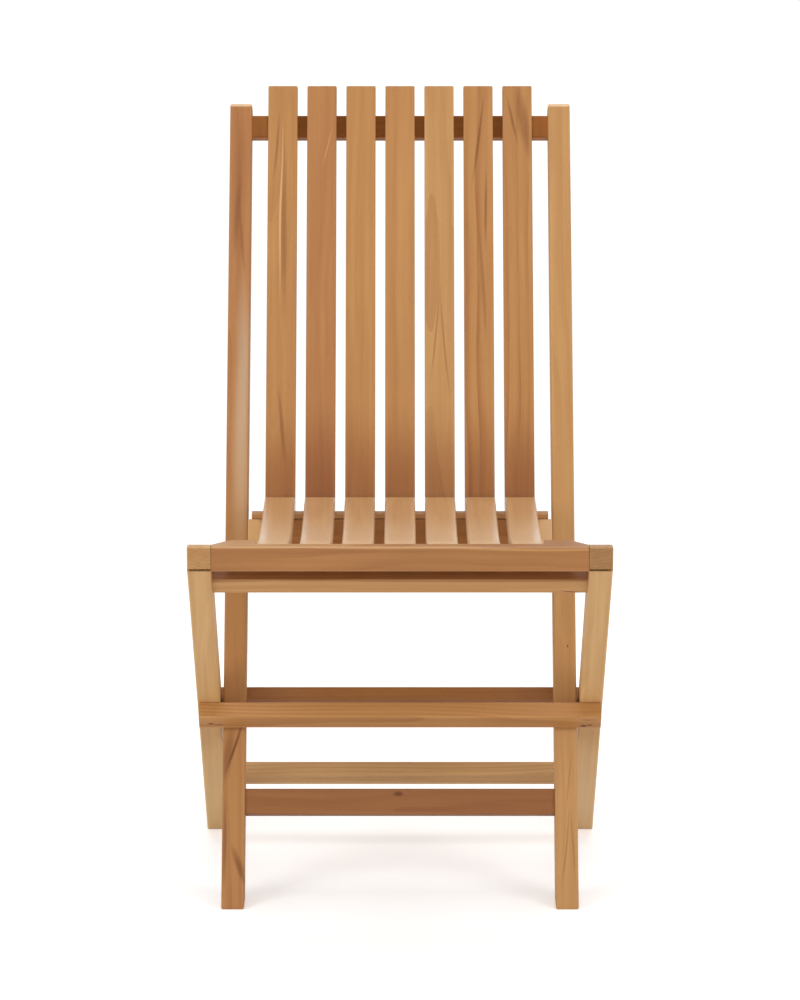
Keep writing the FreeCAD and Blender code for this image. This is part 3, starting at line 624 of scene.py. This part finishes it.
# %% Planks with a tone, a figure and marks of their own
PLANKS = {
    "left_post": {
        "tone": RUSSET,
        "figure": 0.30,
        "rings": 8,
        "marks": [
            # Painted highlight on the rounded top of the post.
            Mark(0, 0, 80, 6, 0.8, from_end=1, soft=0.4, pale="E2BD92"),
            Mark(0, -230, 90, 300, 0.45, soft=0.5, pale="AF8048"),
            Mark(-1, 385, 14, 130, 0.28, dark_tint="B08A74"),
            Mark(-2, 335, 5, 62, 0.28, slant=3, dark_tint="8A6658"),
            Mark(5, 300, 3, 50, 0.35, slant=-4),
            Mark(5, 120, 11, 190, 0.6, pale="C6AB8C"),
            Mark(3, 40, 14, 150, 0.45, pale="C4A27C"),
            Mark(0, -290, 2.6, 42, 0.8, slant=19),
            Mark(-8, -300, 8, 46, 0.5, slant=8),
            Mark(8, -428, 6, 36, 0.6, slant=-22),
            Mark(-11, -400, 4, 70, 0.5),
        ],
    },
    "right_post": {
        "tone": STRAW,
        "figure": 0.12,
        "marks": [
            # Painted highlight on the rounded top of the post.
            Mark(0, 0, 80, 6, 0.8, from_end=1, soft=0.4, pale="E2BD92"),
            Mark(-2, -405, 1.6, 60, 0.4, slant=5),
            Mark(6, -400, 1.8, 50, 0.35, slant=-4),
            Mark(3, -330, 1.6, 50, 0.3, slant=9),
            Mark(3, -176, 1.6, 2.4, 0.9, dark_tint="7E5634"),
        ],
    },
    "back_slat_1": {
        "tone": HONEY,
        "figure": 0.14,
        "marks": [
            Mark(3, 110, 5, 130, 0.4, slant=-0.5),
            Mark(-1, 130, 1.8, 150, 0.7, pale="DDB180"),
            Mark(-8, 205, 2.4, 60, 0.4, slant=4),
            Mark(2, -130, 3.5, 60, 0.45, slant=-6),
        ],
    },
    "back_slat_2": {
        "tone": RUSSET,
        "figure": 0.10,
        "marks": [
            Mark(5, 205, 1.6, 30, 0.35, slant=14, pale="D9A878"),
        ],
    },
    "back_slat_3": {"figure": 0.10},
    "back_slat_4": {"figure": 0.08},
    "back_slat_5": {
        "tone": STRAW,
        "figure": 0.25,
        "rings": 9,
        "heart": (5.5, -55, 0),
        "lean": (0.016, 0.012, 0),
        "marks": [
            Mark(-5, -20, 1.8, 75, 0.4, slant=5),
            Mark(5, -30, 1.8, 85, 0.4, slant=-5),
        ],
    },
    "back_slat_6": {
        "tone": HONEY,
        "figure": 0.55,
        "rings": 9,
        "heart": (-34, -44, 0),
        "lean": (0.02, 0.035, 0),
        "marks": [
            Mark(-1, 215, 2.6, 70, 0.55, slant=7),
            Mark(7, 130, 2.4, 60, 0.5, slant=2),
            Mark(3, 40, 3.0, 90, 0.35, slant=-4),
        ],
    },
    "back_slat_7": {
        "tone": HONEY,
        "figure": 0.40,
        "rings": 9,
        "heart": (40, -40, 0),
        "lean": (0.02, -0.03, 0),
        "marks": [
            Mark(9, 235, 9, 60, 0.45, slant=-10),
            Mark(-3, 238, 2.2, 40, 0.5, slant=-12),
        ],
    },
    "left_rear_leg": {
        "tone": PALE,
        "figure": 0.10,
        # Painted light: the lower leg is painted paler, as light from the floor would make it.
        "marks": [Mark(0, -230, 90, 230, 0.5, pale="DCBB8A")],
    },
    "right_rear_leg": {
        "tone": PALE,
        "figure": 0.14,
        # Painted light: the lower leg is painted paler, as light from the floor would make it.
        "marks": [Mark(0, -230, 90, 230, 0.6, pale="DFBD90")],
    },
    "left_corner_block": {"tone": PALE, "figure": 0.25, "rings": 4},
    "right_corner_block": {"tone": GREYED, "figure": 0.25, "rings": 4},
    "seat_front_board": {
        "tone": BROWN,
        "figure": 0.2,
        "contrast": 0.7,
        "rough": 0.34,
        "shine": 0.5,
        # Painted highlight along the top edge of the board.
        "marks": [Mark(-12.5, 0, 2, 900, 0.5, pale="CC9C62")],
    },
    "leg_top_rail": {
        "tone": STRAW,
        "marks": [
            Mark(9, 186, 1.6, 18, 0.9, slant=10),
            # Painted shade on the top face, under the seat board.
            Mark(-13, 0, 4, 900, 0.7, dark_tint="A0714A"),
        ],
    },
    "back_lower_rail": {
        # Painted light and shade: a dark tone for the shade behind the seat slats, with paler painted ends
        # where light reaches past them.
        "tone": BROWN,
        "marks": [
            # Painted shadow: a dark line along the top edge, where the batten rests on the rail.
            Mark(-20.5, 0, 3, 900, 0.8, dark_tint="6E4A2C"),
            Mark(0, -182, 60, 30, 0.9, soft=0.3, pale="D8AA72"),
            Mark(0, 182, 60, 30, 0.9, soft=0.3, pale="E0B482"),
        ],
    },
    "back_top_rail": {
        # Painted light and shade: a dark tone for the shade between the slats, with paler painted ends
        # where no slat shades the rail.
        "tone": UMBER,
        "shine": 0.15,
        "marks": [
            Mark(0, -176, 60, 22, 0.8, soft=0.3, pale="BC7C42"),
            Mark(0, 176, 60, 22, 0.8, soft=0.3, pale="BC7C42"),
        ],
    },
    "seat_rear_batten": {
        "tone": HONEY,
        # Painted shadow: a dark line along the lower edge, where the batten rests on the rail.
        "marks": [Mark(4, 0, 3.4, 900, 0.9, dark_tint="5E3C24")],
    },
    "front_stretcher": {
        "tone": CHESTNUT,
        "marks": [Mark(-8, -2, 4, 8, 0.8)],
    },
    "middle_front_bar": {
        "tone": HONEY,
        "figure": 0.35,
        "marks": [
            Mark(5, -213, 2.2, 5, 1.0, dark_tint="6E4A2C"),
            Mark(7, -204, 1.6, 8, 0.8, dark_tint="7E5634"),
            Mark(6, 207, 3.2, 6, 1.0, dark_tint="5E3C24"),
            Mark(4, 214, 2.4, 5, 0.9, dark_tint="7E5634"),
            Mark(-8, 212, 1.4, 12, 0.7, dark_tint="7E5634"),
        ],
    },
    "middle_rear_bar": {"tone": BROWN},
    "rear_stretcher": {
        "tone": PALE,
        "figure": 0.25,
        # Painted light: the lower face is painted paler, as light from the floor would make it.
        "marks": [Mark(11, 0, 9, 900, 0.6, pale="DFBA90")],
    },
}

# %% What the slats share
# Painted shade: the foot of each back slat is painted darker, where the seat keeps the light off it.
FOOT_PAINTED_SHADE = Mark(0, -222, 90, 130, 0.6, dark_tint="B88C66")
# Painted highlight: a pale line on the rear end of each seat slat, where its edge catches the light.
REAR_END_PAINTED_HIGHLIGHT = Mark(0, 0, 60, 2, 0.7, from_end=1, pale="E4C198")
# Painted sheen: the front of each seat slat is painted paler, as it looks at a glancing angle.
FRONT_PAINTED_SHEEN = Mark(0, -75, 80, 150, 0.6, pale="D8B68E")

for number in SLAT_NUMBERS:
    back_slat = PLANKS[f"back_slat_{number}"]
    back_slat["marks"] = back_slat.get("marks", []) + [FOOT_PAINTED_SHADE]
    PLANKS[f"seat_slat_{number}"] = {
        "tone": STRAW,
        "figure": 0.18,
        "pores": 0.02,
        "rough": 0.34,
        "shine": 0.6,
        "coat": 0.6,
        "sheen": 0.4,
        "relief": 0.01,
        "worn_and_lit": 0.25,
        "marks": [REAR_END_PAINTED_HIGHLIGHT, FRONT_PAINTED_SHEEN],
    }
print(f"{len(PLANKS)} pieces differ from the common plank")

# %% [markdown]
# ### Cutting the sticks
#
# No two planks are alike, so each has its own place in the patterns. It is drawn from a random series
# that starts with the piece's name, which gives the same planks in each run. How far the heart lies off
# the stick is in millimetres, its lean is in radians, and the shift is in widths of a spot.

# %% Give every wooden piece its plank
WAYS = {
    "post": ["left_post", "right_post"],
    "slat": [f"back_slat_{number}" for number in SLAT_NUMBERS],
    "leg": ["left_rear_leg", "right_rear_leg"],
    "front_to_back": [
        *(f"seat_slat_{number}" for number in SLAT_NUMBERS),
        "left_corner_block",
        "right_corner_block",
    ],
    "across": ["seat_front_board", "seat_rear_batten"],
    "across_back": ["back_lower_rail", "back_top_rail"],
    "across_posts": ["front_stretcher"],
    "across_legs": ["leg_top_rail", "middle_front_bar", "middle_rear_bar", "rear_stretcher"],
}
HEART_ACROSS = (-25, 25)
HEART_OFF = (35, 80)
HEART_LEAN = (-0.02, 0.02)
SHIFT = (-9, 9)

sticks = {}
for way, names in WAYS.items():
    turn = GRAIN_TURNS[way]
    for name in names:
        chance = random.Random(name)
        drawn = {
            "heart": (chance.uniform(*HEART_ACROSS), chance.uniform(*HEART_OFF), 0),
            "lean": (chance.uniform(*HEART_LEAN), chance.uniform(*HEART_LEAN), 0),
            "shift": [chance.uniform(*SHIFT) for axis in range(3)],
        }
        plank = {**COMMON_PLANK, **drawn, **PLANKS.get(name, {})}
        middle, half = stick_size(nodes[name], turn)
        sticks[name] = (turn, middle, half)
        nodes[name].data.materials[0] = teak(f"teak_{name}", turn, middle, half, plank)
        print(f"{name}: {2 * half.z / MM:.0f} mm along the grain")

# %% [markdown]
# ## Brass
#
# The pivot bolts, their nuts and spacers, the butt hinges and the screws are brass, which doesn't rust
# in wet teak. Left outdoors it loses its shine in months and goes brown. No brass catches the light in
# the photograph, so this is the aged kind: a dark brown metal with a few rubbed spots, which are also
# smoother. The spots are 2.5 mm wide.

# %% Aged brass
TARNISH_SPOT = 2.5 * MM
TARNISHED = linear("6A4E2C")
RUBBED_BRASS = linear("94713F")
RUBBED_SPOTS = (0.45, 0.72)
SMOOTHED_SPOTS = (0.4, 0.7)
TARNISHED_ROUGHNESS = 0.55
RUBBED_ROUGHNESS = 0.36

brass = new_material("aged_brass")
tree = brass.node_tree
on_brass = add_node(tree, "ShaderNodeTexCoord").outputs["Object"]
tarnish = add_node(
    tree,
    "ShaderNodeTexNoise",
    {"Vector": on_brass, "Scale": 1 / TARNISH_SPOT, "Detail": 3.0},
).outputs["Fac"]
rubbed = add_node(tree, "ShaderNodeMapRange", [tarnish, *RUBBED_SPOTS], **SOFT_STEP)
roughness = add_node(
    tree,
    "ShaderNodeMapRange",
    [tarnish, *SMOOTHED_SPOTS, TARNISHED_ROUGHNESS, RUBBED_ROUGHNESS],
    **SOFT_STEP,
)
metal = add_node(
    tree,
    "ShaderNodeBsdfPrincipled",
    {
        "Base Color": add_node(tree, "ShaderNodeMix", [rubbed, TARNISHED, RUBBED_BRASS], **COVER),
        "Metallic": 1.0,
        "Roughness": roughness,
    },
)
add_node(tree, "ShaderNodeOutputMaterial", {"Surface": metal})
brass_names = [name for name in nodes if "crossing" in name or "hinge" in name]
for name in brass_names:
    nodes[name].data.materials[0] = brass
print(f"{len(brass_names)} brass pieces")

# %% [markdown]
# ## Screws
#
# The sticks that aren't mortised are screwed. The heads are on the sides that the photograph hides:
# behind the top rail and the slats, behind the rear bars, under the seat board and inside the hinges.
# The wood is not cut for them, so each is drawn as a raised countersunk head that stands half a
# millimetre proud, with room in it for a cross recess. In the hinges they are all but flush, or the
# leaves wouldn't close.
#
# One head is modelled from a cone with a few bmesh operators, and bmesh copies it to every spot of a
# row.

# %% Model one screw head
RIM_POINTS = 28
SEATED = 0.4 * MM
TOP_OF_RADIUS = 0.9
ARM_OF_RADIUS = 0.16
TIP_OF_RADIUS = 0.62
PIT_OF_HEIGHT = 0.85
UP_COSINE = 0.9


def flat_tops(form):
    """The faces that look straight up."""
    form.normal_update()
    return [face for face in form.faces if face.normal.z > UP_COSINE]


def corners_of(parts):
    """The vertices among the parts of a form."""
    return [part for part in parts if isinstance(part, bmesh.types.BMVert)]


def model_screw(form, radius, proud):
    """A low cone at the origin. Eight cuts rule its top into a grid, and the grid's cross is pushed in."""
    bmesh.ops.create_cone(
        form,
        cap_ends=True,
        segments=RIM_POINTS,
        radius1=radius,
        radius2=TOP_OF_RADIUS * radius,
        depth=proud + SEATED,
        matrix=Matrix.Translation((0, 0, (proud - SEATED) / 2)),
    )
    arm, tip = ARM_OF_RADIUS * radius, TIP_OF_RADIUS * radius
    for axis in (Vector((1, 0, 0)), Vector((0, 1, 0))):
        for reach in (-tip, -arm, arm, tip):
            tops = flat_tops(form)
            rims = dict.fromkeys(part for face in tops for part in (*face.verts, *face.edges))
            bmesh.ops.bisect_plane(form, geom=[*tops, *rims], plane_co=axis * reach, plane_no=axis)
    cross = []
    for face in flat_tops(form):
        near, far = sorted(abs(place) for place in face.calc_center_median()[:2])
        if near < arm and far < tip:
            cross.append(face)
    sunk = bmesh.ops.extrude_face_region(form, geom=cross)["geom"]
    bmesh.ops.translate(form, verts=corners_of(sunk), vec=(0, 0, -PIT_OF_HEIGHT * proud))


# %% Copy the head to every spot of a row
def screws(name, body, spots, radius, proud=0.5 * MM):
    """One piece with a screw head at every spot, each a place and the way it faces."""
    form = bmesh.new()
    model_screw(form, radius, proud)
    pattern = [*form.verts, *form.edges, *form.faces]
    for place, outward in spots:
        copy = bmesh.ops.duplicate(form, geom=pattern)["geom"]
        turn = Vector(outward).to_track_quat("Z", "Y").to_matrix().to_4x4()
        bmesh.ops.transform(form, matrix=Matrix.Translation(place) @ turn, verts=corners_of(copy))
    bmesh.ops.delete(form, geom=corners_of(pattern), context="VERTS")
    bmesh.ops.recalc_face_normals(form, faces=form.faces)
    mesh = bpy.data.meshes.new(name)
    form.to_mesh(mesh)
    form.free()
    mesh.materials.append(brass)
    piece = bpy.data.objects.new(name, mesh)
    bpy.context.collection.objects.link(piece)
    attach(piece, body)
    print(f"{name}: {len(spots)} screws, {len(mesh.polygons)} faces")


# %% Screws behind the back and the rear bars
SLAT_SCREW = 3.4 * MM
BAR_SCREW = 4 * MM
SLAT_END_TO_RAIL = 17 * MM
SIDES = (-1, 1)


def on_rear(name, along):
    """A spot on the rear face of a stick, and the way that face looks."""
    turn, middle, half = sticks[name]
    to_chair = turn.to_matrix()
    return middle + to_chair @ Vector((0, half.y, along)), to_chair @ Vector((0, 1, 0))


slat_places = [sticks[f"back_slat_{number}"][1].x for number in SLAT_NUMBERS]
rail_spots = [on_rear("back_top_rail", x) for x in slat_places]
screws("top_rail_screws", "back_frame", rail_spots, SLAT_SCREW)
up_the_slat = SLAT_END_TO_RAIL - sticks["back_slat_1"][2].z
foot_spots = [on_rear(f"back_slat_{number}", up_the_slat) for number in SLAT_NUMBERS]
screws("slat_foot_screws", "back_frame", foot_spots, SLAT_SCREW)
leg_place = abs(sticks["left_rear_leg"][1].x)
for bar in ("middle_rear_bar", "rear_stretcher"):
    screws(f"{bar}_screws", "rear_legs", [on_rear(bar, side * leg_place) for side in SIDES], BAR_SCREW)

# %% Screws under the seat board and in the hinges
BOARD_SCREW = 3 * MM
LAP_BEHIND_THE_MIDDLE = 6 * MM
LEAF_SCREW = 2.2 * MM
LEAF_SCREW_PROUD = 0.09 * MM
LEAF_SCREW_DEPTHS = (-264 * MM, -254 * MM)
LEAF_FACES = {"rear_legs": (417.8 * MM, 1), "seat": (418.2 * MM, -1)}

board_middle, board_half = sticks["seat_front_board"][1:]
underside = board_middle.z - board_half.x
lap_middle = board_middle.y + LAP_BEHIND_THE_MIDDLE
lap_spots = [(Vector((x, lap_middle, underside)), (0, 0, -1)) for x in slat_places]
screws("board_screws", "seat", lap_spots, BOARD_SCREW)
for body, (height, facing) in LEAF_FACES.items():
    places = [Vector((side * leg_place, depth, height)) for side in SIDES for depth in LEAF_SCREW_DEPTHS]
    leaf_spots = [(place, (0, 0, facing)) for place in places]
    screws(f"{body}_hinge_screws", body, leaf_spots, LEAF_SCREW, LEAF_SCREW_PROUD)
